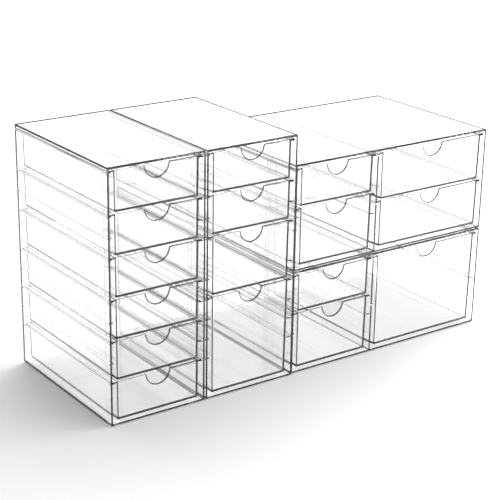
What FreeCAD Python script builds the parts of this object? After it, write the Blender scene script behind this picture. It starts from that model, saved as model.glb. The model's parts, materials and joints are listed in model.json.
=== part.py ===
"""Clear stacking drawer set: two towers and a pair of wide casings, with seventeen drawers.

Every casing is a one-piece moulded box, open at the front, with thin rails along the inner side
walls. Every drawer is a moulded tub that hangs by its two side flanges on a pair of rails, so a
drawer can go at any height that has rails. Small clear feet keep the casings off the table, and
off the casing below.

Frame: millimetres, +Z up, fronts towards -Y, origin on the table under the middle of the set.
"""

import FreeCAD, Part
import os
import Sketcher

V = FreeCAD.Vector

# ---------------------------------------------------------------- driving sizes, in millimetres
SIZES = {
    # casings
    "casing_depth": 228.0,
    "casing_wall": 2.4,
    "column_width": 129.0,        # clear width between the walls of a narrow column
    "wide_column_width": 187.6,   # clear width of the wide column
    "casing_inner_radius": 1.0,
    "casing_edge_radius": 0.5,    # broken edges of a casing
    "tower_top_clearance": 2.2,   # from a tower's roof down to the rim of its top drawer
    "tower_floor_clearance": 3.5, # from its lowest drawer down to its floor
    "stack_top_clearance": 3.0,
    "stack_floor_clearance": 4.0,
    # how the casings stand
    "tower_spacing": 1.8,         # between the two towers
    "stack_spacing": 0.8,         # between the second tower and the wide casings
    "stack_setback": 2.5,         # the wide casings stand this much further back
    # feet
    "foot_height": 1.5,
    "foot_diameter": 11.0,
    "foot_inset": 13.0,           # from a casing's side to a foot's centre
    # rails
    "rail_width": 4.8,
    "rail_thickness": 1.6,
    "rail_setback": 4.0,          # from a casing's front to the front end of its rails
    "rail_play": 0.3,             # between a rail and the flange that hangs on it
    # drawers
    "drawer_pitch": 52.35,        # height of one storey
    "drawer_gap": 2.35,           # from a drawer's underside to the rim of the drawer below
    "drawer_side_gap": 6.8,       # from a casing's wall to the drawer's side, at the rim
    "drawer_setback": 1.0,        # from a casing's front to a drawer's front
    "drawer_back_clearance": 2.0, # from a drawer's back to the casing's back wall
    "drawer_wall": 2.0,
    "drawer_floor": 2.2,
    "drawer_draft": 0.5,          # degrees, so that the tub leaves its mould
    "drawer_outer_radius": 1.0,
    "drawer_inner_radius": 1.2,
    "flange_thickness": 1.8,
    "flange_side_play": 0.6,      # from a flange's edge to the casing's wall
    "flange_setback": 1.2,        # from a drawer's front or back to the end of its flanges
    "flange_corner_radius": 1.5,
    "rim_radius": 0.5,            # broken edges of the rim and the notch
    "notch_radius": 16.8,         # finger notch in the drawer's front
}

# storeys that each drawer takes, from the top of its column down
SMALL, MEDIUM, LARGE, WIDE = 1.0, 1.5, 2.5, 1.25
LEFT_TOWER_DRAWERS = [SMALL] * 6
MIDDLE_TOWER_DRAWERS = [SMALL, SMALL, MEDIUM, LARGE]
STACK_NARROW_DRAWERS = [SMALL, MEDIUM]
UPPER_WIDE_DRAWERS = [WIDE, WIDE]
LOWER_WIDE_DRAWERS = [LARGE]

# storeys from the top at which a column has a pair of rails
TOWER_RAILS = [0.0, 1.0, 1.5, 2.0, 3.0, 3.5, 4.0, 4.5, 5.0]
STACK_NARROW_RAILS = [0.0, 1.0, 1.5]
STACK_WIDE_RAILS = [0.0, 1.25]

TOWER_STOREYS = sum(LEFT_TOWER_DRAWERS)
STACK_STOREYS = sum(STACK_NARROW_DRAWERS)

# ------------------------------------------------------- derived sizes, as expressions on the sheet
TOWER_WIDTH = "(sizes.column_width + 2 * sizes.casing_wall)"
STACK_WIDTH = "(sizes.column_width + sizes.wide_column_width + 3 * sizes.casing_wall)"
TOTAL_WIDTH = (f"(2 * {TOWER_WIDTH} + {STACK_WIDTH}"
               " + sizes.tower_spacing + sizes.stack_spacing)")
TOTAL_DEPTH = "(sizes.casing_depth + sizes.stack_setback)"
DRAWER_LENGTH = ("(sizes.casing_depth - sizes.casing_wall"
                 " - sizes.drawer_setback - sizes.drawer_back_clearance)")

LEFT_TOWER_X = f"(-{TOTAL_WIDTH} / 2)"
MIDDLE_TOWER_X = f"({LEFT_TOWER_X} + {TOWER_WIDTH} + sizes.tower_spacing)"
STACK_X = f"({MIDDLE_TOWER_X} + {TOWER_WIDTH} + sizes.stack_spacing)"
TOWER_Y = f"(-{TOTAL_DEPTH} / 2)"
STACK_Y = f"({TOWER_Y} + sizes.stack_setback)"


def casing_height(storeys, family):
    """Outer height of a casing that holds so many storeys of drawers."""
    return (f"(2 * sizes.casing_wall + sizes.{family}_top_clearance"
            f" + {storeys} * sizes.drawer_pitch - sizes.drawer_gap"
            f" + sizes.{family}_floor_clearance)")


TOWER_HEIGHT = casing_height(TOWER_STOREYS, "tower")
STACK_HEIGHT = casing_height(STACK_STOREYS, "stack")


def rim_height(storeys, family):
    """Height above a casing's underside of the rim of a drawer so many storeys down."""
    height = TOWER_HEIGHT if family == "tower" else STACK_HEIGHT
    return (f"({height} - sizes.casing_wall - sizes.{family}_top_clearance"
            f" - {storeys} * sizes.drawer_pitch)")


# ------------------------------------------------------------------------- document and helpers
doc = FreeCAD.newDocument("stacking_drawers")
sheet = doc.addObject("Spreadsheet::Sheet", "sizes")
for row, (alias, value) in enumerate(SIZES.items(), start=1):
    sheet.set(f"A{row}", alias)
    sheet.set(f"B{row}", str(value))
    sheet.setAlias(f"B{row}", alias)
doc.recompute()

nodes = []


def new_body(label, place):
    """A body with its own label, placed by three expressions."""
    body = doc.addObject("PartDesign::Body", label)
    body.Label = label
    for axis, expression in zip("xyz", place):
        body.setExpression(f"Placement.Base.{axis}", expression)
    nodes.append(body)
    return body


def new_sketch(body, name, role, offset=None):
    """A sketch on one of the body's own origin planes, moved along its normal if asked."""
    sketch = body.newObject("Sketcher::SketchObject", name)
    plane = next(p for p in body.Origin.OriginFeatures if p.Role == role)
    sketch.AttachmentSupport = [(plane, "")]
    sketch.MapMode = "FlatFace"
    if offset:
        sketch.setExpression("AttachmentOffset.Base.z", offset)
    return sketch


def dimension(sketch, constraint, name, expression):
    """A driving constraint, named and bound to the sheet."""
    index = sketch.addConstraint(constraint)
    sketch.renameConstraint(index, name)
    sketch.setExpression(f"Constraints.{name}", expression)


def add_rectangle(sketch, name, width, height, left=None, bottom=None, centred=False):
    """A rectangle whose sizes and lower left corner are expressions.

    Without left its left side lies on the sketch's vertical axis, or with centred it is
    symmetric about that axis. Without bottom its lower side lies on the horizontal axis.
    """
    start = -1 if centred else 1
    corners = [V(start, 1, 0), V(2, 1, 0), V(2, 2, 0), V(start, 2, 0)]
    lines = [sketch.addGeometry(Part.LineSegment(corners[i], corners[(i + 1) % 4]), False)
             for i in range(4)]
    for i in range(4):
        sketch.addConstraint(Sketcher.Constraint("Coincident", lines[i], 2, lines[(i + 1) % 4], 1))
    for i in (1, 3):
        sketch.addConstraint(Sketcher.Constraint("Vertical", lines[i]))
    sketch.addConstraint(Sketcher.Constraint("Horizontal", lines[2]))
    if centred:  # being symmetric also keeps the lower side horizontal
        sketch.addConstraint(Sketcher.Constraint("Symmetric", lines[0], 1, lines[0], 2, -2))
    else:
        sketch.addConstraint(Sketcher.Constraint("Horizontal", lines[0]))
        if left is None:
            sketch.addConstraint(Sketcher.Constraint("PointOnObject", lines[0], 1, -2))
        else:
            dimension(sketch, Sketcher.Constraint("DistanceX", -1, 1, lines[0], 1, 1.0),
                      f"{name}_left", left)
    if bottom is None:
        sketch.addConstraint(Sketcher.Constraint("PointOnObject", lines[0], 1, -1))
    else:
        dimension(sketch, Sketcher.Constraint("DistanceY", -1, 1, lines[0], 1, 1.0),
                  f"{name}_bottom", bottom)
    dimension(sketch, Sketcher.Constraint("DistanceX", lines[0], 1, lines[0], 2, 1.0),
              f"{name}_width", width)
    dimension(sketch, Sketcher.Constraint("DistanceY", lines[1], 1, lines[1], 2, 1.0),
              f"{name}_height", height)


def pad(body, sketch, name, length, reverse=False, taper=None):
    """A pad along the sketch's normal, or against it."""
    feature = body.newObject("PartDesign::Pad", name)
    feature.Profile = sketch
    feature.Reversed = reverse
    feature.setExpression("Length", length)
    if taper:
        feature.setExpression("TaperAngle", taper)
    doc.recompute()
    return feature


def pocket(body, sketch, name, length, taper=None):
    """A pocket against the sketch's normal, which must take material away."""
    before = body.Shape.Volume
    feature = body.newObject("PartDesign::Pocket", name)
    feature.Profile = sketch
    feature.setExpression("Length", length)
    if taper:
        feature.setExpression("TaperAngle", taper)
    doc.recompute()
    if not body.Shape.Volume < before:
        raise RuntimeError(f"{body.Label}: {name} takes nothing away")
    return feature


def fillet(body, name, radius, wanted):
    """A fillet on the edges of the body's last feature that the test picks out."""
    base = body.Tip
    edges = [f"Edge{i}" for i, edge in enumerate(base.Shape.Edges, start=1) if wanted(edge)]
    if not edges:
        raise RuntimeError(f"{body.Label}: {name} finds no edges")
    feature = body.newObject("PartDesign::Fillet", name)
    feature.Base = (base, edges)
    feature.setExpression("Radius", radius)
    doc.recompute()
    return feature


def size(alias):
    """A size as a number, read back from the sheet."""
    return float(sheet.get(alias))


def reaches(edge, axis):
    """The lowest and highest coordinate of an edge's ends and middle along one axis."""
    first, last = edge.ParameterRange
    points = [edge.valueAt(first + share * (last - first)) for share in (0, 0.5, 1)]
    values = [getattr(point, axis) for point in points]
    return min(values), max(values)


def lies_at(edge, axis, value):
    """Whether an edge lies in the plane that crosses an axis at this value."""
    low, high = reaches(edge, axis)
    return abs(low - value) < 1e-3 and abs(high - value) < 1e-3


# ---------------------------------------------------------------------------------------- casings
def build_casing(label, place, family, height, columns):
    """A box open at the front, with one bay per column and rails on the bay's two side walls.

    Local frame: origin at the outer, lower left corner of the front.
    columns holds, from left to right, each bay's clear width and the storeys that have rails.
    """
    body = new_body(label, place)
    bay_width = [f"sizes.{alias}" for alias, rails in columns]
    bay_left = [" + ".join([f"{i + 1} * sizes.casing_wall"] + bay_width[:i])
                for i in range(len(columns))]
    casing_width = " + ".join([f"{len(columns) + 1} * sizes.casing_wall"] + bay_width)

    outline = new_sketch(body, "outline", "XZ_Plane")
    add_rectangle(outline, "outline", casing_width, height)
    pad(body, outline, "block", "sizes.casing_depth", reverse=True)
    fillet(body, "outer_edges", "sizes.casing_edge_radius", lambda edge: True)

    bays = new_sketch(body, "bays", "XZ_Plane")
    for i, width in enumerate(bay_width):
        add_rectangle(bays, f"bay_{i}", width, f"{height} - 2 * sizes.casing_wall",
                      left=bay_left[i], bottom="sizes.casing_wall")
    pocket(body, bays, "hollow", "sizes.casing_depth - sizes.casing_wall")

    wall = size("casing_wall")
    inner_back = size("casing_depth") - wall

    def is_inner_corner(edge):
        low, high = reaches(edge, "y")
        return abs(high - inner_back) < 1e-3 and (low < 1e-3 or low > inner_back - 1e-3)

    fillet(body, "inner_corners", "sizes.casing_inner_radius", is_inner_corner)

    def is_mouth(edge):
        low_x, high_x = reaches(edge, "x")
        low_z, high_z = reaches(edge, "z")
        inside = low_x > wall - 1e-3 and low_z > wall - 1e-3
        return inside and high_z < body_height - wall + 1e-3 and lies_at(edge, "y", 0)

    body_height = body.Tip.Shape.BoundBox.ZMax
    fillet(body, "mouth_edges", "sizes.casing_edge_radius", is_mouth)

    rails = new_sketch(body, "rails", "XZ_Plane", offset="-sizes.rail_setback")
    for i, (alias, storeys_with_rails) in enumerate(columns):
        for j, storeys in enumerate(storeys_with_rails):
            rail_bottom = (f"{rim_height(storeys, family)} - sizes.flange_thickness"
                           " - sizes.rail_play - sizes.rail_thickness")
            far_side = f"{bay_left[i]} + {bay_width[i]} - sizes.rail_width"
            for side, left in (("left", bay_left[i]), ("right", far_side)):
                add_rectangle(rails, f"{side}_{i}_{j}", "sizes.rail_width",
                              "sizes.rail_thickness", left=left, bottom=rail_bottom)
    pad(body, rails, "rail_bars",
        "sizes.casing_depth - sizes.casing_wall - sizes.rail_setback", reverse=True)


def build_feet(label, place, casing_width):
    """Four round pads, flat against the casing's underside, one near each corner."""
    body = new_body(label, place)
    circles = new_sketch(body, "circles", "XY_Plane")
    far_x = f"{casing_width} - sizes.foot_inset"
    far_y = "sizes.casing_depth - sizes.foot_inset"
    for i, x in enumerate(("sizes.foot_inset", far_x)):
        for j, y in enumerate(("sizes.foot_inset", far_y)):
            circle = circles.addGeometry(Part.Circle(V(10 + 20 * i, 10 + 20 * j, 0), V(0, 0, 1), 5),
                                         False)
            dimension(circles, Sketcher.Constraint("DistanceX", -1, 1, circle, 3, 1.0),
                      f"foot_{i}{j}_x", x)
            dimension(circles, Sketcher.Constraint("DistanceY", -1, 1, circle, 3, 1.0),
                      f"foot_{i}{j}_y", y)
            dimension(circles, Sketcher.Constraint("Diameter", circle, 10.0),
                      f"foot_{i}{j}_diameter", "sizes.foot_diameter")
    pad(body, circles, "pads", "sizes.foot_height")


# ---------------------------------------------------------------------------------------- drawers
def build_drawer(label, place, storeys, column_alias):
    """A drafted tub with a flange along each side of its rim and a finger notch in its front.

    Local frame: origin at the middle of the front's upper edge, the tub going down and back.
    """
    body = new_body(label, place)
    height = f"({storeys} * sizes.drawer_pitch - sizes.drawer_gap)"
    width = f"(sizes.{column_alias} - 2 * sizes.drawer_side_gap)"

    rim = new_sketch(body, "rim", "XY_Plane")
    add_rectangle(rim, "rim", width, DRAWER_LENGTH, centred=True)
    pad(body, rim, "block", height, reverse=True, taper="-sizes.drawer_draft")
    fillet(body, "outer_corners", "sizes.drawer_outer_radius",
           lambda edge: not lies_at(edge, "z", 0))

    flange = new_sketch(body, "flange", "XY_Plane")
    add_rectangle(flange, "flange", f"sizes.{column_alias} - 2 * sizes.flange_side_play",
                  f"{DRAWER_LENGTH} - 2 * sizes.flange_setback",
                  bottom="sizes.flange_setback", centred=True)
    pad(body, flange, "flanges", "sizes.flange_thickness", reverse=True)

    flange_sides = (body.Tip.Shape.BoundBox.XMin, body.Tip.Shape.BoundBox.XMax)

    def is_flange_corner(edge):
        upright = abs(edge.Length - size("flange_thickness")) < 1e-3
        return upright and any(lies_at(edge, "x", side) for side in flange_sides)

    fillet(body, "flange_corners", "sizes.flange_corner_radius", is_flange_corner)

    hollow = new_sketch(body, "hollow", "XY_Plane")
    add_rectangle(hollow, "hollow", f"{width} - 2 * sizes.drawer_wall",
                  f"{DRAWER_LENGTH} - 2 * sizes.drawer_wall",
                  bottom="sizes.drawer_wall", centred=True)
    pocket(body, hollow, "tub", f"{height} - sizes.drawer_floor", taper="-sizes.drawer_draft")

    inner_depth = storeys * size("drawer_pitch") - size("drawer_gap") - size("drawer_floor")
    fillet(body, "inner_corners", "sizes.drawer_inner_radius",
           lambda edge: abs(reaches(edge, "z")[0] + inner_depth) < 1e-3)

    notch = new_sketch(body, "notch", "XZ_Plane")
    circle = notch.addGeometry(Part.Circle(V(0, 0, 0), V(0, 0, 1), 10), False)
    notch.addConstraint(Sketcher.Constraint("Coincident", circle, 3, -1, 1))
    dimension(notch, Sketcher.Constraint("Radius", circle, 10.0), "radius", "sizes.notch_radius")
    pocket(body, notch, "finger_notch", "2 * sizes.drawer_wall")

    def is_rim_or_notch(edge):
        low_x, high_x = reaches(edge, "x")
        in_notch = (max(-low_x, high_x) < size("notch_radius") + 1e-3
                    and reaches(edge, "y")[1] < 2 * size("drawer_wall")
                    and reaches(edge, "z")[0] > -size("notch_radius") - 1e-3)
        return lies_at(edge, "z", 0) or in_notch

    fillet(body, "rim_edges", "sizes.rim_radius", is_rim_or_notch)


def fill_column(names, column, storeys_taken, column_alias):
    """The drawers of one column, hung one below the other.

    column holds the casing's x, y and z, its family, and the column's middle from its left side.
    """
    casing_x, casing_y, casing_z, family, middle = column
    above = 0.0
    for name, storeys in zip(names, storeys_taken):
        place = (f"{casing_x} + {middle}", f"{casing_y} + sizes.drawer_setback",
                 f"{casing_z} + {rim_height(above, family)}")
        build_drawer(name, place, storeys, column_alias)
        above += storeys


# ---------------------------------------------------------------------------------- the whole set
TOWER_COLUMNS = [("column_width", TOWER_RAILS)]
STACK_COLUMNS = [("column_width", STACK_NARROW_RAILS), ("wide_column_width", STACK_WIDE_RAILS)]
FOOT_Z = "sizes.foot_height"
UPPER_FOOT_Z = f"(sizes.foot_height + {STACK_HEIGHT})"
UPPER_Z = f"({UPPER_FOOT_Z} + sizes.foot_height)"
NARROW_MIDDLE = "(sizes.casing_wall + sizes.column_width / 2)"
WIDE_MIDDLE = "(2 * sizes.casing_wall + sizes.column_width + sizes.wide_column_width / 2)"

for side, x in (("left", LEFT_TOWER_X), ("middle", MIDDLE_TOWER_X)):
    build_casing(f"{side}_tower_casing", (x, TOWER_Y, FOOT_Z), "tower", TOWER_HEIGHT,
                 TOWER_COLUMNS)
    build_feet(f"{side}_tower_feet", (x, TOWER_Y, "0"), TOWER_WIDTH)
for level, foot_z, z in (("lower", "0", FOOT_Z), ("upper", UPPER_FOOT_Z, UPPER_Z)):
    build_casing(f"{level}_wide_casing", (STACK_X, STACK_Y, z), "stack", STACK_HEIGHT,
                 STACK_COLUMNS)
    build_feet(f"{level}_wide_casing_feet", (STACK_X, STACK_Y, foot_z), STACK_WIDTH)

for side, x, taken in (("left", LEFT_TOWER_X, LEFT_TOWER_DRAWERS),
                       ("middle", MIDDLE_TOWER_X, MIDDLE_TOWER_DRAWERS)):
    fill_column([f"{side}_tower_drawer_{i + 1}" for i in range(len(taken))],
                (x, TOWER_Y, FOOT_Z, "tower", NARROW_MIDDLE), taken, "column_width")
for level, z, wide_names, taken in (
        ("upper", UPPER_Z, ["upper_wide_drawer_1", "upper_wide_drawer_2"], UPPER_WIDE_DRAWERS),
        ("lower", FOOT_Z, ["lower_large_drawer"], LOWER_WIDE_DRAWERS)):
    fill_column([f"{level}_small_drawer", f"{level}_medium_drawer"],
                (STACK_X, STACK_Y, z, "stack", NARROW_MIDDLE), STACK_NARROW_DRAWERS,
                "column_width")
    fill_column(wide_names, (STACK_X, STACK_Y, z, "stack", WIDE_MIDDLE), taken,
                "wide_column_width")

# ------------------------------------------------------------------------------- check and export
doc.recompute()
for item in doc.Objects:
    if "Invalid" in item.State or "Error" in item.State:
        raise RuntimeError(f"{item.Label} failed: {item.State}")
for node in nodes:
    if node.Shape.isNull() or not node.Shape.isValid():
        raise RuntimeError(f"{node.Label} has no valid shape")

os.makedirs("parts", exist_ok=True)
for node in nodes:
    node.Shape.exportStep(f"parts/{node.Label}.step")
    box = node.Shape.BoundBox
    print(f"{node.Label}: {len(node.Shape.Solids)} solid(s), {node.Shape.Volume / 1000:.1f} cm3,"
          f" {box.XLength:.1f} x {box.YLength:.1f} x {box.ZLength:.1f} mm,"
          f" z {box.ZMin:.2f} to {box.ZMax:.2f}")
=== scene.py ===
"""The finish of a clear stacking drawer set: glass-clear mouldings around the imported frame.

All sizes are in metres, in the frame's own axes: +X right, +Y back, +Z up.
"""

import json
import math

import bmesh
import bpy
import numpy as np
from mathutils import Matrix, Vector


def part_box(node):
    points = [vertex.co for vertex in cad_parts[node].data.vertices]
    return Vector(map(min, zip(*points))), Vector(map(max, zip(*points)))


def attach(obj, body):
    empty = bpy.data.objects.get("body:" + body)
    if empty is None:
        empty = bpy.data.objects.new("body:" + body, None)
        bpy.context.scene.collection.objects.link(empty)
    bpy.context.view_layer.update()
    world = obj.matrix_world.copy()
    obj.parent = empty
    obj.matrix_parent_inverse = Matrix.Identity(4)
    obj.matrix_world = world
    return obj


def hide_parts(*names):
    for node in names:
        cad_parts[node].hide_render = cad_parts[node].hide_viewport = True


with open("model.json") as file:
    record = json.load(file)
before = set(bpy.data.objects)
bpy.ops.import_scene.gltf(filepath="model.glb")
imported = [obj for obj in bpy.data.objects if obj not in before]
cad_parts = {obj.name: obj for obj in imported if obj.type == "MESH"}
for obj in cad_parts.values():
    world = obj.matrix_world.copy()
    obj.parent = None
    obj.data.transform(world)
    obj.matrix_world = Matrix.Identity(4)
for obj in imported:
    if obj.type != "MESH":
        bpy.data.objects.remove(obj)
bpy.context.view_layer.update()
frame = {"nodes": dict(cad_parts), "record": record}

MM = 0.001

# ------------------------------------------------------------------------------ moulding sizes
CASING_WALL = 2.4 * MM
CASING_EDGE = 0.5 * MM          # rounding of a casing's outer edges and of its mouth
CASING_INNER_CORNER = 1.0 * MM
COLUMN_WIDTH = 129.0 * MM       # clear width of a narrow column
RAIL_REACH = 4.8 * MM
RAIL_THICKNESS = 1.6 * MM
RAIL_SETBACK = 4.0 * MM         # from a casing's front to the front end of its rails
RAIL_EDGE = 0.35 * MM
RAIL_TIP = RAIL_EDGE * 1.1      # the last part of its reach, which counts as its tip
RAIL_BELOW_RIM = 2.1 * MM       # from a drawer's rim down to the top of its rails
DRAWER_PITCH = 52.35 * MM       # one storey

DRAWER_SIDE_GAP = 6.8 * MM      # from a casing's wall to a drawer's side
DRAWER_WALL = 2.0 * MM
DRAWER_FLOOR = 2.2 * MM
DRAWER_DRAFT = math.tan(math.radians(0.5))      # how much narrower, for each metre down
DRAWER_OUTER_CORNER = 1.0 * MM
DRAWER_INNER_CORNER = 1.2 * MM
RIM_EDGE = 0.5 * MM
FLANGE_PLAY = 0.6 * MM          # from a flange's edge to the casing's wall
FLANGE_THICKNESS = 1.8 * MM
FLANGE_SETBACK = 1.2 * MM       # from a drawer's front or back to the end of its flanges
FLANGE_CORNER = 1.5 * MM
FLANGE_TIP = FLANGE_CORNER / 9  # the last part of its reach, which counts as its long edge
NOTCH_RADIUS = 16.4 * MM
NOTCH_SHOULDER = 1.6 * MM       # rounding where the notch meets the rim
FOOT_DIAMETER = 11.0 * MM
FOOT_EDGE = 0.4 * MM

TOWER_RAILS = (0.0, 1.0, 1.5, 2.0, 3.0, 3.5, 4.0, 4.5, 5.0)   # in storeys from the top
NARROW_RAILS = (0.0, 1.0, 1.5)
WIDE_RAILS = (0.0, 1.25)

# ---------------------------------------------------------------------------- facets and seams
ROUND_STEPS = 6                 # facets in a quarter round
RIM_STEPS = 4                   # in that of a drawer's rim
SMALL_STEPS = 3                 # of a rail's edges and of a flange's lower edge
FLOOR_STEPS = 8                 # and of the corner round a drawer's inner floor
NOTCH_STEPS = 48                # in the notch's arc
FOOT_STEPS = 32                 # round a foot
WELD = 0.002 * MM               # points nearer than this become one
SAME_PLACE = 0.01 * MM          # points nearer than this count as level
FLAT_WEIGHT = 100               # how much large faces rule the shading of small ones
FLAT_THRESHOLD = 0.001          # weights nearer than this count as equal

# -------------------------------------------------------------- painted shade: how dark each clear edge looks
EDGE_SHADE = "edge_shade"       # the attribute of painted shade, from 0 for clear to 1 for black
EDGE_SPREAD = 0.3               # dark nearly all over a rounded edge
FLOOR_SPREAD = 2                # dark only in the middle of it
MOUTH_SHADE = 0.15              # the end faces of a casing's walls
MOUTH_EDGE_SHADE = 0.8          # their outer rounding
BAY_EDGE_SHADE = 0.5            # and the rounding of each bay's mouth
OUTER_EDGE_SHADE = 1.0          # a casing's long edges and back edges
SIDE_STRIP = (0.9 * MM, 0.85)   # beside its long edges: each strip's width and shade
TOP_STRIP = (1.2 * MM, 0.9)     # on top: along its left edge,
RIGHT_STRIP = (2.2 * MM, 1.0)   # its right edge,
BACK_STRIP = (5.0 * MM, 0.95)   # its back edge
MOUTH_STRIP = (2.0 * MM, 0.9)   # and its front edge
NO_STRIP = (0, 0)
FACES_UP = 0.99                 # the least rise of a direction that counts as up
INNER_EDGE_SHADE = 0.08         # the corners inside a bay
RAIL_TIP_SHADE = 0.55
CORNER_SHADE = 1.0              # a drawer's upright corners
CORNER_STRIP = (0.5 * MM, 0.8)  # beside them: its width and share of their shade
BOTTOM_SHADE = 0.7              # the edge round its underside
BACK_SHARE = 0.85               # of these shades, at its back
BACK_SIDE_SHADE = 0.85          # the end of a drawer's sides, beside its back corners
INNER_FLOOR_SHADE = 0.3         # the corner along the front of its inner floor
RIM_SHADE = 0.15
NOTCH_SHADE = 0.85              # the notch's cut edge
NOTCH_RING = 0.9 * MM           # and a ring round it, on both faces
NOTCH_RING_SHADE = 0.65
FLANGE_END_SHADE = 0.9
FLANGE_EDGE_SHADE = 0.5         # along the flange's long edge
UNDER_SHARE = 0.3               # of both, on the lower half of the edge


# ------------------------------------------------------------------------------------ geometry
class Outline:
    """Columns of points round a rounded rectangle, kept so that any ring can be worked out.

    A ring of half sizes a and b and corner radius r has its column j at
    (side_x * (a - r) + along_x + out_x * (r + outset), the same in y): side is -1, 0 or 1 and
    says which corner or side the column belongs to, along is its own place on a straight side,
    and out is the unit vector that points out of the ring. Reach is how far the column stands
    out where the side has a flange or a rail. The strip of faces that starts at a column has
    its bend, which is most at the middle of a corner and 0 on a side.
    """

    def __init__(self):
        self.parts = []

    def corner(self, side_x, side_y, first_angle, before=NO_STRIP, after=NO_STRIP):
        """Columns of a quarter turn that starts at this angle, in degrees.

        before and after give a strip of the flat sides beside it: its width and its bend.
        """
        angle = np.radians(first_angle + np.linspace(0, 90, ROUND_STEPS + 1))
        out_x, out_y = np.cos(angle), np.sin(angle)
        if before[0]:
            self._add(side_x, side_y, -before[0] * out_x[-1], -before[0] * out_y[-1],
                      out_x[0], out_y[0], 0, before[1])
        self._add(side_x, side_y, 0, 0, out_x, out_y, 0,
                  np.append(bends(ROUND_STEPS, EDGE_SPREAD), after[1]))
        if after[0]:
            self._add(side_x, side_y, -after[0] * out_x[0], -after[0] * out_y[0],
                      out_x[-1], out_y[-1], 0, 0)

    def side(self, side_x, side_y, along_x, along_y, reach=0.0):
        """Columns on one straight side, with their own places and how far each stands out."""
        self._add(side_x, side_y, along_x, along_y, side_x, side_y, reach, 0)

    def _add(self, *values):
        count = max(np.size(value) for value in values)
        rows = [np.broadcast_to(value, count) for value in values]
        self.parts.append(np.array(rows, float))

    def close(self):
        """Joins the parts and names their rows."""
        columns = np.concatenate(self.parts, axis=1)
        self.side_x, self.side_y, self.along_x, self.along_y = columns[:4]
        self.out_x, self.out_y, self.reach, self.bend = columns[4:]

    def ring(self, a, b, r, outset=0.0):
        """Every column's x and y for half sizes a and b, corner radius r and an outset."""
        x = self.side_x * (a - r) + self.along_x + self.out_x * (r + outset)
        y = self.side_y * (b - r) + self.along_y + self.out_y * (r + outset)
        return x, y


class Rings:
    """Rings of points, added from one end of a surface to the other, about its own origin.

    Each ring but the first has the shade of the strip of faces that leads to it.
    """

    def __init__(self, origin):
        self.origin, self.rows, self.shades = origin, [], []

    def add(self, x, y, z, shade):
        """One ring: its columns' places, and one shade or one for each face."""
        self.rows.append(np.stack(np.broadcast_arrays(x, y, z), axis=-1))
        self.shades.append(np.broadcast_to(shade, len(x)))

    def surface(self):
        """All the points, rings x columns x 3, and the shades between the rings."""
        return np.array(self.rows) + self.origin, np.array(self.shades[1:])


def lesser(values):
    """The lesser of the values at the two columns that a strip of faces lies between."""
    return np.minimum(values, np.roll(values, -1))


def greater(values):
    """The greater of the values at the two columns that a strip of faces lies between."""
    return np.maximum(values, np.roll(values, -1))


def bends(steps, spread):
    """How much each facet of a quarter round counts as its edge.

    It is sin(2 * angle) at the facet's middle, to the power of spread: below 1 it is dark
    nearly all over the round, above 1 only in its middle.
    """
    return np.sin(np.pi * (np.arange(steps) + 0.5) / steps) ** spread


def quarter(steps=ROUND_STEPS):
    """Sines and cosines of evenly spaced angles over a quarter turn."""
    angle = np.linspace(0, np.pi / 2, steps + 1)
    return np.sin(angle), np.cos(angle)


def rounding(steps=ROUND_STEPS, spread=EDGE_SPREAD, turn=1):
    """Sine, cosine and bend for each ring of a quarter round, run backwards if turn is -1.

    A ring has the bend of the facet that leads to it, so the first ring's is 0.
    """
    sine, cosine = quarter(steps)
    return zip(sine[::turn], cosine[::turn], np.append(0, bends(steps, spread)))


def grid_faces(rows, columns, first, cap_first, cap_last):
    """Quads between neighbouring rows of a grid that closes on itself, with flat end caps."""
    row, column = np.meshgrid(np.arange(rows - 1), np.arange(columns), indexing="ij")
    after = (column + 1) % columns
    quads = np.stack([row * columns + column, row * columns + after,
                      (row + 1) * columns + after, (row + 1) * columns + column], axis=-1)
    faces = (quads.reshape(-1, 4) + first).tolist()
    if cap_first:
        faces.append((first + np.arange(columns)[::-1]).tolist())
    if cap_last:
        faces.append((first + (rows - 1) * columns + np.arange(columns)).tolist())
    return faces


def corners(node):
    """The lower and the upper corner of a node's box."""
    low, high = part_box(node)
    return np.array(low), np.array(high)


def closed_mesh(name, grids, open_plane):
    """One closed mesh from grids of points, with its edge shade.

    grids lists (points, shades, cap_first, cap_last), with points of shape rows x columns x 3
    and one shade for each face between them, (rows - 1) x columns: how much painted shade the
    plastic's edge gets there, from 0 to 1, for the dark look that refraction gives it. Unless
    open_plane is None, the loops that lie at this y are joined by one flat face with holes,
    which has the painted shade of a mouth.
    """
    points, faces, shades = [], [], []
    for grid, grid_shades, cap_first, cap_last in grids:
        rows, columns = grid.shape[:2]
        faces += grid_faces(rows, columns, sum(len(p) for p in points), cap_first, cap_last)
        shades += [grid_shades.ravel(), np.zeros(cap_first + cap_last)]
        points.append(grid.reshape(-1, 3))
    mesh = bpy.data.meshes.new(name)
    mesh.from_pydata(np.concatenate(points).tolist(), [], faces)
    mesh.attributes.new(EDGE_SHADE, "FLOAT", "FACE").data.foreach_set(
        "value", np.concatenate(shades))
    shape = bmesh.new()
    shape.from_mesh(mesh)
    bmesh.ops.remove_doubles(shape, verts=shape.verts, dist=WELD)
    bmesh.ops.dissolve_degenerate(shape, edges=shape.edges, dist=WELD)
    if open_plane is not None:
        rim = [edge for edge in shape.edges if edge.is_boundary
               and all(abs(v.co.y - open_plane) < SAME_PLACE for v in edge.verts)]
        mouth = bmesh.ops.triangle_fill(shape, use_beauty=True, edges=rim, normal=(0, -1, 0))
        layer = shape.faces.layers.float[EDGE_SHADE]
        for face in mouth["geom"]:
            if isinstance(face, bmesh.types.BMFace):
                face[layer] = MOUTH_SHADE
    bmesh.ops.recalc_face_normals(shape, faces=shape.faces)
    loose = [edge for edge in shape.edges if not edge.is_manifold]
    if loose:
        raise ValueError(f"{name} has {len(loose)} open edges")
    shape.to_mesh(mesh)
    shape.free()
    mesh.shade_smooth()
    return mesh


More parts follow.
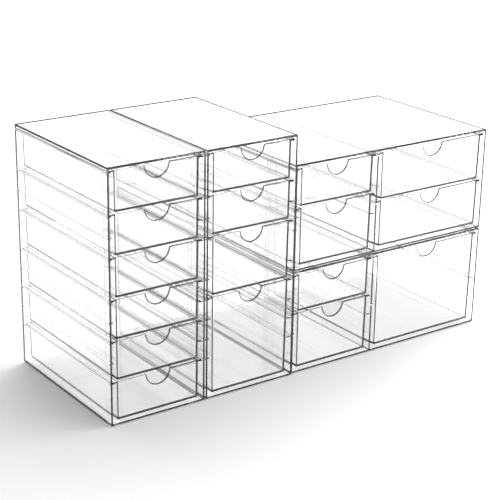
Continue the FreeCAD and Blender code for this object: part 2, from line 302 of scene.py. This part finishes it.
def piece(name, grids, node, material, open_plane=None):
    """Makes one closed piece from its grids and lets it stand for a node of the frame."""
    mesh = closed_mesh(name, grids, open_plane)
    mesh.materials.append(material)
    thing = bpy.data.objects.new(name, mesh)
    bpy.context.scene.collection.objects.link(thing)
    smooth = thing.modifiers.new("flat_faces_stay_flat", "WEIGHTED_NORMAL")
    smooth.mode = "FACE_AREA"
    smooth.weight = FLAT_WEIGHT
    smooth.thresh = FLAT_THRESHOLD
    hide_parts(node)
    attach(thing, body_of_node(node))


def body_of_node(node):
    """The body that a node belongs to."""
    bodies = frame["record"]["behaviour"]["bodies"]
    return next(body for body, nodes in bodies.items() if node in nodes)


# ------------------------------------------------------------------------------------- drawers
def notch_stations():
    """The rim's course through the finger notch, from left to right.

    The notch is an arc about the middle of the rim. A small shoulder arc turns the rim into
    it, tangent to both. Returns x, z and the unit vector that points out of the material.
    """
    shoulder_x = math.sqrt((NOTCH_RADIUS + NOTCH_SHOULDER) ** 2 - NOTCH_SHOULDER ** 2)
    meet = math.asin(NOTCH_SHOULDER / (NOTCH_RADIUS + NOTCH_SHOULDER))
    turn = np.linspace(math.pi - meet, math.pi / 2, ROUND_STEPS + 1)
    right_x = shoulder_x + NOTCH_SHOULDER * np.cos(turn)
    right_z = NOTCH_SHOULDER * (np.sin(turn) - 1)
    sweep = np.linspace(math.pi + meet, 2 * math.pi - meet, NOTCH_STEPS + 1)[1:-1]
    x = np.concatenate([-right_x[::-1], NOTCH_RADIUS * np.cos(sweep), right_x])
    z = np.concatenate([right_z[::-1], NOTCH_RADIUS * np.sin(sweep), right_z])
    up_x = np.concatenate([-np.cos(turn)[::-1], -np.cos(sweep), np.cos(turn)])
    up_z = np.concatenate([np.sin(turn)[::-1], -np.sin(sweep), np.sin(turn)])
    return x, z, up_x, up_z


def flange_stations(half_length, reach):
    """Places along a drawer's side, and how far the flange stands out at each.

    The flange starts square to the side and has a quarter round at both outer corners.
    """
    start = half_length - FLANGE_SETBACK
    sine, cosine = quarter()
    along = np.concatenate([[-start, -start], -start + FLANGE_CORNER * (1 - cosine[1:])])
    out = np.concatenate([[0, reach - FLANGE_CORNER], reach - FLANGE_CORNER * (1 - sine[1:])])
    return np.concatenate([along, -along[::-1]]), np.concatenate([out, out[::-1]])


def tub_outline(half_length, reach):
    """Columns round a drawer, from the left of its notch, with a flange along both sides.

    Returns the outline, which of its columns are in the notch, and the rim's course at all of
    them: its height, and the x and z of the unit vector that points out of the material.
    """
    notch_x, *notch_course = notch_stations()
    along, out = flange_stations(half_length, reach)
    outline = Outline()
    outline.side(0, -1, notch_x, 0)
    outline.corner(1, -1, -90, before=CORNER_STRIP)
    outline.side(1, 0, 0, along, out)
    outline.corner(1, 1, 0, after=CORNER_STRIP)
    outline.corner(-1, 1, 90, before=CORNER_STRIP)
    outline.side(-1, 0, 0, along[::-1], out[::-1])
    outline.corner(-1, -1, 180, after=CORNER_STRIP)
    outline.close()
    count = len(outline.reach)
    in_notch = np.arange(count) < len(notch_x)
    past_notch = (0, 0, 1)      # level, facing straight up
    course = [np.append(part, np.full(count - len(notch_x), value))
              for part, value in zip(notch_course, past_notch)]
    return outline, in_notch, course


def tub_shades(outline, in_notch):
    """How dark each strip of a drawer's faces is on the walls, the rim and the flanges' edges.

    Returns the share that the strip's part of the outline has, and then these three painted
    shades.
    """
    reach = outline.reach
    share = np.where(outline.side_y > 0, BACK_SHARE, 1)
    flange_back = outline.along_y.max() - FLANGE_CORNER - SAME_PLACE
    by_back = (outline.side_y == 0) & (lesser(outline.along_y) > flange_back)
    wall = np.maximum(CORNER_SHADE * outline.bend * share, BACK_SIDE_SHADE * by_back)
    rim = np.maximum(np.where(in_notch, NOTCH_SHADE, RIM_SHADE), wall)
    tip = np.select([lesser(reach) > reach.max() - FLANGE_TIP, greater(reach) > 0],
                    [FLANGE_EDGE_SHADE, FLANGE_END_SHADE], wall)
    return share, wall, rim, tip


def drawer_surface(low, high):
    """A drafted tub: one grid of rings from the underside, over the rim, to the inner floor.

    Every ring is a rounded rectangle whose half sizes shrink by the draft times the depth
    under the rim. At the underside and the inner floor the ring also moves in by
    radius * (1 - sine) while it rises by radius * (1 - cosine), which rounds the edge. Along
    both sides the rings under the rim step out by the flange's reach, and the columns there
    are drawn together in the ring's own proportion, so that they stay between its corners.
    """
    middle = (low + high) / 2
    flange_half = (high[0] - low[0]) / 2
    half_width = flange_half - DRAWER_SIDE_GAP + FLANGE_PLAY
    half_length = (high[1] - low[1]) / 2
    height = high[2] - low[2]
    outer, inner = DRAWER_OUTER_CORNER, DRAWER_INNER_CORNER
    outline, in_notch, (rim_z, up_x, up_z) = tub_outline(half_length, flange_half - half_width)
    share, wall, rim, tip = tub_shades(outline, in_notch)
    reach = outline.reach
    rings = Rings([middle[0], middle[1], high[2]])

    def at_level(z, inset, radius, shade, outset=0, shift=0):
        """A ring at height z from the rim: in from the outer face, out, and moved in x."""
        narrower = inset - z * DRAWER_DRAFT
        x, y = outline.ring(half_width - narrower, half_length - narrower, radius, outset)
        squeeze = (half_length - narrower - radius) / (half_length - outer)
        rings.add(x + shift, np.where(outline.side_y == 0, y * squeeze, y), z, shade)

    def under_rim(depth, inset, radius, outset, shade):
        """A ring that follows the rim's course, this deep in the material."""
        at_level(rim_z - up_z * depth, inset, radius, shade, outset, -up_x * depth)

    # round the underside's edge, then up the wall to just below the flanges and the notch
    for sine, cosine, bend in rounding():
        inset = outer * (1 - sine)
        at_level(outer * (1 - cosine) - height, inset, outer - inset,
                 BOTTOM_SHADE * bend * share)
    ring_depth = RIM_EDGE + NOTCH_RING
    under_rim(np.where(in_notch, ring_depth, FLANGE_THICKNESS + NOTCH_RING), 0, outer, 0, wall)
    under_rim(np.where(in_notch, RIM_EDGE, FLANGE_THICKNESS), 0, outer, 0,
              np.where(in_notch, NOTCH_RING_SHADE, wall))
    # out under the flanges and round their lower edge
    for sine, cosine, bend in rounding(SMALL_STEPS):
        under_rim(np.where(reach > 0, FLANGE_THICKNESS - RIM_EDGE * (1 - cosine), RIM_EDGE),
                  0, outer, np.where(reach > 0, reach - RIM_EDGE * (1 - sine), 0),
                  UNDER_SHARE * tip if bend > 0 else np.where(lesser(reach) > 0, 0, tip))
    # over the rim
    for sine, cosine, _ in rounding(RIM_STEPS):
        under_rim(RIM_EDGE * (1 - sine), 0, outer, reach - RIM_EDGE * (1 - cosine),
                  np.maximum(tip, rim))
    for sine, cosine, bend in rounding(RIM_STEPS, turn=-1):
        under_rim(RIM_EDGE * (1 - sine), DRAWER_WALL, inner, RIM_EDGE * (1 - cosine),
                  rim if bend > 0 else np.where(greater(reach) > 0, 0, rim))
    # down the inner wall and round to the floor
    under_rim(ring_depth, DRAWER_WALL, inner, 0, np.where(in_notch, NOTCH_RING_SHADE, 0))
    for sine, cosine, bend in rounding(FLOOR_STEPS, FLOOR_SPREAD, turn=-1):
        inset = inner * (1 - sine)
        at_level(DRAWER_FLOOR - height + inner * (1 - cosine), DRAWER_WALL + inset,
                 inner - inset, np.where(outline.side_y < 0, INNER_FLOOR_SHADE * bend, 0))
    return rings.surface()


# ------------------------------------------------------------------------------------- casings
def rail_stations(rail_tops):
    """Heights up a bay's side wall, and how far the wall stands in at each.

    Each rail is a bar with both tip edges rounded: two points at its root and tip, top and
    bottom, joined by quarter rounds.
    """
    sine, cosine = quarter(SMALL_STEPS)
    half = RAIL_THICKNESS / 2
    z = np.append(-half, -half + RAIL_EDGE * (1 - cosine))
    reach = np.append(0, RAIL_REACH - RAIL_EDGE * (1 - sine))
    z, reach = np.append(z, -z[::-1]), np.append(reach, reach[::-1])
    middles = np.sort(rail_tops) - half
    return (middles[:, None] + z).ravel(), np.tile(reach, len(middles))


def casing_shell(low, high, right_strip):
    """The outside of a casing: rings from the back face, round its edges, to the mouth's.

    Each ring is a rounded rectangle of x and z. It moves in by radius * (1 - sine) round the
    back edge and the mouth, and has strips of painted shade beside the long edges, where the
    walls end. Two more rings bound the painted strips along the back and the front of the top.
    """
    outline = Outline()
    outline.corner(1, -1, -90, after=SIDE_STRIP)
    outline.corner(1, 1, 0, before=SIDE_STRIP, after=right_strip)
    outline.corner(-1, 1, 90, before=TOP_STRIP, after=SIDE_STRIP)
    outline.corner(-1, -1, 180, before=SIDE_STRIP)
    outline.close()
    half_width, half_height = (high[0] - low[0]) / 2, (high[2] - low[2]) / 2
    middle = (low + high) / 2
    long_edges = OUTER_EDGE_SHADE * outline.bend
    on_top = lesser(outline.out_y) > FACES_UP
    rings = Rings([middle[0], 0, middle[2]])

    def at(y, inset, shade):
        """A ring at this y, in from the outer faces and at least as dark as the long edges."""
        x, z = outline.ring(half_width - inset, half_height - inset, CASING_EDGE - inset)
        rings.add(x, y, z, np.maximum(long_edges, shade))

    # round the back edge, then along the outside
    for sine, cosine, bend in rounding():
        at(high[1] - CASING_EDGE * (1 - cosine), CASING_EDGE * (1 - sine),
           OUTER_EDGE_SHADE * bend)
    at(high[1] - CASING_EDGE - BACK_STRIP[0], 0, BACK_STRIP[1] * on_top)
    at(low[1] + CASING_EDGE + MOUTH_STRIP[0], 0, 0)
    # round to the mouth
    for sine, cosine, bend in rounding(turn=-1):
        at(low[1] + CASING_EDGE * (1 - cosine), CASING_EDGE * (1 - sine),
           MOUTH_EDGE_SHADE if bend > 0 else MOUTH_STRIP[1] * on_top)
    return rings.surface()


def casing_bay(low, high, left, width, rail_tops):
    """The inside of one bay: rings from its mouth to its back wall.

    Each ring is a rounded rectangle of x and z, which widens by radius * (1 - sine) at the
    mouth. Behind the mouth the two side walls step in by the rails' reach, at the rails'
    heights.
    """
    half_width = width / 2
    half_height = (high[2] - low[2]) / 2 - CASING_WALL
    middle_x, middle_z = left + half_width, (high[2] + low[2]) / 2
    z, reach = rail_stations(rail_tops - middle_z)
    outline = Outline()
    outline.corner(1, -1, -90)
    outline.side(1, 0, 0, z, reach)
    outline.corner(1, 1, 0)
    outline.corner(-1, 1, 90)
    outline.side(-1, 0, 0, z[::-1], reach[::-1])
    outline.corner(-1, -1, 180)
    outline.close()
    inner_edges = INNER_EDGE_SHADE * outline.bend
    tips = RAIL_TIP_SHADE * (lesser(outline.reach) > RAIL_REACH - RAIL_TIP)
    rings = Rings([middle_x, 0, middle_z])

    def at(y, inset, radius, outset, shade):
        """A ring at this y, in from the walls and then out by each column's own amount."""
        x, z = outline.ring(half_width - inset, half_height - inset, radius, outset)
        rings.add(x, y, z, shade)

    corner = CASING_INNER_CORNER
    # in from the mouth, then onto the rails' front ends
    for sine, cosine, _ in rounding():
        at(low[1] + CASING_EDGE * (1 - cosine), 0, corner, CASING_EDGE * (1 - sine),
           BAY_EDGE_SHADE)
    rail_front = low[1] + RAIL_SETBACK
    at(rail_front, 0, corner, 0, inner_edges)
    at(rail_front, 0, corner, -np.maximum(outline.reach - RAIL_EDGE, 0), 0)
    at(rail_front + RAIL_EDGE, 0, corner, -outline.reach, 0)
    # along the rails to the back wall
    inner_back = high[1] - CASING_WALL
    for sine, cosine, bend in rounding(turn=-1):
        inset = corner * (1 - sine)
        at(inner_back - corner * (1 - cosine), inset, corner - inset, -outline.reach,
           INNER_EDGE_SHADE * bend if bend > 0 else np.maximum(inner_edges, tips))
    return rings.surface()


def make_casing(node, columns, material, right_strip=RIGHT_STRIP):
    """A casing with its bays. columns lists each bay's width, rails and top drawer."""
    low, high = corners(node)
    grids = [casing_shell(low, high, right_strip) + (True, False)]
    left = low[0] + CASING_WALL
    for width, storeys, top_drawer in columns:
        first_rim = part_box(top_drawer)[1][2]
        rail_tops = first_rim - RAIL_BELOW_RIM - np.array(storeys) * DRAWER_PITCH
        grids.append(casing_bay(low, high, left, width, rail_tops) + (False, True))
        left += width + CASING_WALL
    piece(f"{node}_moulding", grids, node, material, open_plane=low[1])


# ---------------------------------------------------------------------------------------- feet
def make_feet(node, name, material):
    """Four soft pads: a quarter-round profile turned about each foot's middle."""
    low, high = corners(node)
    foot_radius = FOOT_DIAMETER / 2
    sine, cosine = quarter()
    radius = np.append(foot_radius - FOOT_EDGE * (1 - sine), foot_radius)
    height = np.append(FOOT_EDGE * (1 - cosine), high[2] - low[2])
    angle = np.linspace(0, 2 * np.pi, FOOT_STEPS, endpoint=False)
    grids = []
    for x in (low[0] + foot_radius, high[0] - foot_radius):
        for y in (low[1] + foot_radius, high[1] - foot_radius):
            places = np.broadcast_arrays(x + np.outer(radius, np.cos(angle)),
                                         y + np.outer(radius, np.sin(angle)),
                                         low[2] + height[:, None])
            clear = np.zeros((len(radius) - 1, len(angle)))
            grids.append((np.stack(places, axis=-1), clear, True, True))
    piece(name, grids, node, material)


# ----------------------------------------------------------------------------------- materials
WHITE = (1.0, 1.0, 1.0, 1.0)
PLASTIC_IOR = 1.49
CLEAR_COLOUR = (0.995, 0.998, 0.998, 1.0)
# painted shade: the dark, opaque finish that the clear plastic gives way to at its edges
PAINTED_SHADE_COLOUR = (0.03, 0.033, 0.034, 1.0)
PAINTED_SHADE_ROUGHNESS = 0.5
PAINTED_SHADE_STRENGTH = 0.92            # how far the painted shade at the darkest edge hides what is behind it
SMUDGE_SCALE = 35.0             # marks, to a metre
SMUDGE_DETAIL = 3.0
CASING_SMUDGE = 0.03            # roughness where the marks are strongest
DRAWER_SMUDGE = 0.035
WAVE_SCALE = 14.0               # waves, to a metre
WAVE_DETAIL = 1.0
WAVE_DEPTH = 0.4 * MM
CASING_WAVE = 0.015             # how strongly the waves show
DRAWER_WAVE = 0.02
GEL_COLOUR = (0.97, 0.98, 0.98, 1.0)
GEL_IOR = 1.15
GEL_ALPHA = 0.35
GEL_ROUGHNESS = 0.05
CLOUD_ROUGHNESS = 0.2           # added where the gel is most cloudy
CLOUD_SCALE = 300.0             # clouds, to a metre
CLOUD_DETAIL = 3.0


class Value:
    """A number that changes over a surface: a node's output, with arithmetic."""

    def __init__(self, finish, socket):
        self.finish, self.socket = finish, socket

    def _math(self, operation, *values):
        node = self.finish.node("Math", dict(operation=operation), *values)
        return Value(self.finish, node.outputs[0])

    def __add__(self, other):
        return self._math("ADD", self, other)

    def __sub__(self, other):
        return self._math("SUBTRACT", self, other)

    def __rsub__(self, other):
        return self._math("SUBTRACT", other, self)

    def __mul__(self, other):
        return self._math("MULTIPLY", self, other)

    def at_most(self, other):
        """The lesser of this and another."""
        return self._math("MINIMUM", self, other)

    __radd__, __rmul__ = __add__, __mul__


class Finish:
    """A material, or a world, and the one method that adds any node to it."""

    def __init__(self, owner, output):
        self.owner = owner
        owner.use_nodes = True
        self.tree = owner.node_tree
        self.tree.nodes.clear()
        self.output = self.node(output)

    def node(self, kind, settings=None, *inputs, **named):
        """Adds a node, sets its settings first, then its sockets' values or links.

        inputs go to the sockets in order, named ones by the socket's name with _ for a space.
        """
        node = self.tree.nodes.new(f"ShaderNode{kind}")
        for setting, value in (settings or {}).items():
            setattr(node, setting, value)
        places = dict(enumerate(inputs))
        places.update((name.replace("_", " "), value) for name, value in named.items())
        for place, value in places.items():
            value = value.socket if isinstance(value, Value) else value
            if isinstance(value, bpy.types.NodeSocket):
                self.tree.links.new(value, node.inputs[place])
            else:
                node.inputs[place].default_value = value
        return node

    def value(self, node, output=0):
        """A node's output as a Value."""
        return Value(self, node.outputs[output])

    def show(self, node):
        """Sends a shader to the output."""
        self.tree.links.new(node.outputs[0], self.output.inputs["Surface"])


def clear_plastic(name, smudge, wave):
    """Colourless moulded plastic whose cut and rounded edges look dark.

    Its roughness is a little uneven, as if handled, and its faces are a little wavy, as they
    leave the mould. Where the edge shade is high, the clear plastic gives way to a dark,
    opaque
    one: painted shade for the dark look that refraction gives its edges.
    """
    finish = Finish(bpy.data.materials.new(name), "OutputMaterial")
    place = finish.node("TexCoord").outputs["Object"]
    marks = finish.node("TexNoise", None, Vector=place, Scale=SMUDGE_SCALE,
                        Detail=SMUDGE_DETAIL)
    swell = finish.node("TexNoise", None, Vector=place, Scale=WAVE_SCALE, Detail=WAVE_DETAIL)
    ripple = finish.node("Bump", None, Strength=wave, Distance=WAVE_DEPTH,
                         Height=finish.value(swell))
    clear = finish.node("BsdfPrincipled", None, Base_Color=CLEAR_COLOUR, IOR=PLASTIC_IOR,
                        Roughness=finish.value(marks) * smudge, Transmission_Weight=1.0,
                        Normal=ripple.outputs[0])
    # painted shade: a dark, opaque finish in place of the darkness refraction gives the edges
    edge = finish.node("BsdfPrincipled", None, Base_Color=PAINTED_SHADE_COLOUR,
                       Roughness=PAINTED_SHADE_ROUGHNESS, Specular_IOR_Level=0.0)
    shade = finish.value(finish.node("Attribute", dict(attribute_name=EDGE_SHADE)), "Fac")
    finish.show(finish.node("MixShader", None, shade * PAINTED_SHADE_STRENGTH, clear.outputs[0],
                            edge.outputs[0]))
    return finish.owner


def soft_gel(name):
    """Soft clear gel, a little cloudy all over, that hardly bends what is seen through it."""
    finish = Finish(bpy.data.materials.new(name), "OutputMaterial")
    place = finish.node("TexCoord").outputs["Object"]
    cloud = finish.node("TexNoise", None, Vector=place, Scale=CLOUD_SCALE, Detail=CLOUD_DETAIL)
    finish.show(finish.node("BsdfPrincipled", None, Base_Color=GEL_COLOUR, IOR=GEL_IOR,
                            Roughness=GEL_ROUGHNESS + finish.value(cloud) * CLOUD_ROUGHNESS,
                            Transmission_Weight=1.0, Alpha=GEL_ALPHA))
    return finish.owner


# ------------------------------------------------------------------------------- the clear set
casing_plastic = clear_plastic("clear_casing_plastic", CASING_SMUDGE, CASING_WAVE)
drawer_plastic = clear_plastic("clear_drawer_plastic", DRAWER_SMUDGE, DRAWER_WAVE)
feet_gel = soft_gel("soft_feet_gel")

TOWER_COLUMN = (COLUMN_WIDTH, TOWER_RAILS)
make_casing("left_tower_casing", [TOWER_COLUMN + ("left_tower_drawer_1",)], casing_plastic,
            right_strip=NO_STRIP)
make_casing("middle_tower_casing", [TOWER_COLUMN + ("middle_tower_drawer_1",)], casing_plastic)
for level, wide_top in (("upper", "upper_wide_drawer_1"), ("lower", "lower_large_drawer")):
    low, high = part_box(f"{level}_wide_casing")
    wide_width = high[0] - low[0] - COLUMN_WIDTH - 3 * CASING_WALL
    make_casing(f"{level}_wide_casing",
                [(COLUMN_WIDTH, NARROW_RAILS, f"{level}_small_drawer"),
                 (wide_width, WIDE_RAILS, wide_top)], casing_plastic)
for node in frame["nodes"]:
    if "_drawer" in node:
        tub = drawer_surface(*corners(node)) + (True, True)
        piece(f"{node}_tub", [tub], node, drawer_plastic)
for casing in ("left_tower", "middle_tower", "lower_wide_casing", "upper_wide_casing"):
    make_feet(f"{casing}_feet", f"{casing}_pads", feet_gel)


# ---------------------------------------------------------------------------------- the studio
CAMERA_PLACE = Vector((-1.0666, -1.4591, 0.7851))
CAMERA_HEADING = 35.80          # degrees from +Y towards +X
CAMERA_DOWN = 19.84
CAMERA_ROLL = 1.0
CAMERA_LENS = 103.2             # millimetres
CAMERA_SENSOR = 36              # its width, in millimetres

FLOOR_REACH = 8.0
FLOOR_COLOUR = (0.9, 0.9, 0.9, 1.0)
FLOOR_GLOW = 0.2
GLOW_IN_PLASTIC = 0.41          # added where it is seen through plastic or mirrored in it

DIM_SIDE, BRIGHT_SIDE = 0.1, 1.75       # what lights the floor, from the left and the right
BRIGHT_TOWARDS = (0.95, 0.3, 0.0)
SIDE_BLEND = 0.6                # how far towards either side it is full
BAND_STRENGTH = 2.3             # soft boxes all round, that the tops mirror
BAND_LOW, BAND_FULL = 0.05, 0.2         # sine of their height above the horizon

SOFT_BOX_PLACE = Vector((1.2, 0.6, 1.6))
SOFT_BOX_SIZE = 1.2
SOFT_BOX_POWER = 16             # watts
FILL_PLACE = Vector((0.5, -0.42, 0.4))
FILL_SIZE = 0.4
FILL_POWER = 1.5

BOUNCES = 48                    # enough for light to pass through every wall of the set
GLOSSY_BOUNCES = 16
SEE_THROUGH_BOUNCES = 64


def look(heading, down, roll):
    """The rotation of a camera that faces a heading, looks down and is rolled, in degrees."""
    heading, down = math.radians(heading), math.radians(down)
    forward = Vector((math.sin(heading) * math.cos(down), math.cos(heading) * math.cos(down),
                      -math.sin(down)))
    upright = forward.to_track_quat("-Z", "Y").to_matrix()
    return upright @ Matrix.Rotation(math.radians(roll), 3, "Z")


def square_lamp(name, place, size, power):
    """A square lamp that shines straight down from its place."""
    lamp = bpy.data.lights.new(name, "AREA")
    lamp.shape = "SQUARE"
    lamp.size = size
    lamp.energy = power
    thing = bpy.data.objects.new(name, lamp)
    thing.location = place
    scene.collection.objects.link(thing)
    return thing


scene = bpy.context.scene
lens = bpy.data.cameras.new("camera")
lens.lens = CAMERA_LENS
lens.sensor_width = CAMERA_SENSOR
camera = bpy.data.objects.new("camera", lens)
camera.matrix_world = (Matrix.Translation(CAMERA_PLACE)
                       @ look(CAMERA_HEADING, CAMERA_DOWN, CAMERA_ROLL).to_4x4())
scene.collection.objects.link(camera)
scene.camera = camera
scene.view_settings.view_transform = "Standard"

sheet = bpy.data.meshes.new("floor")
sheet.from_pydata([(-FLOOR_REACH, -FLOOR_REACH, 0), (FLOOR_REACH, -FLOOR_REACH, 0),
                   (FLOOR_REACH, FLOOR_REACH, 0), (-FLOOR_REACH, FLOOR_REACH, 0)], [],
                  [(0, 1, 2, 3)])
floor = bpy.data.objects.new("floor", sheet)
scene.collection.objects.link(floor)
pale = Finish(bpy.data.materials.new("pale_floor"), "OutputMaterial")
paper = pale.node("BsdfDiffuse", None, Color=FLOOR_COLOUR)
in_plastic = pale.value(pale.node("LightPath"), "Is Glossy Ray")
glow = pale.node("Emission", None, Color=WHITE,
                 Strength=FLOOR_GLOW + in_plastic * GLOW_IN_PLASTIC)
pale.show(pale.node("AddShader", None, paper.outputs[0], glow.outputs[0]))
sheet.materials.append(pale.owner)

# The backdrop is plain white where it is seen, straight or through the plastic. The tops
# mirror a brighter band of it, and the floor is lit from one side more than from the other.
world = bpy.data.worlds.new("studio")
scene.world = world
air = Finish(world, "OutputWorld")
paths = air.node("LightPath")
seen = 1 - air.value(paths, "Diffuse Depth").at_most(1.0)
transmitted = air.value(paths, "Is Transmission Ray")
shown = (air.value(paths, "Is Camera Ray") + transmitted) * seen
mirrored = air.value(paths, "Is Glossy Ray") * (1 - transmitted) * seen
sky = air.node("TexCoord").outputs["Generated"]
direction = air.node("SeparateXYZ", None, sky)
rising = air.node("MapRange", dict(interpolation_type="SMOOTHSTEP"),
                  air.value(direction, "Z"), BAND_LOW, BAND_FULL, 1.0, BAND_STRENGTH)
across = air.node("VectorMath", dict(operation="DOT_PRODUCT"), sky, BRIGHT_TOWARDS)
side = air.node("MapRange", dict(interpolation_type="SMOOTHSTEP"),
                air.value(across, "Value"), -SIDE_BLEND, SIDE_BLEND, DIM_SIDE, BRIGHT_SIDE)
air.show(air.node("Background", None, Color=WHITE,
                  Strength=shown + mirrored * air.value(rising)
                  + (1 - shown - mirrored) * air.value(side)))

soft_box = square_lamp("soft_box", SOFT_BOX_PLACE, SOFT_BOX_SIZE, SOFT_BOX_POWER)
soft_box.rotation_euler = (-soft_box.location).to_track_quat("-Z", "Y").to_euler()
square_lamp("front_fill", FILL_PLACE, FILL_SIZE, FILL_POWER)

scene.cycles.max_bounces = BOUNCES
scene.cycles.transmission_bounces = BOUNCES
scene.cycles.glossy_bounces = GLOSSY_BOUNCES
scene.cycles.transparent_max_bounces = SEE_THROUGH_BOUNCES
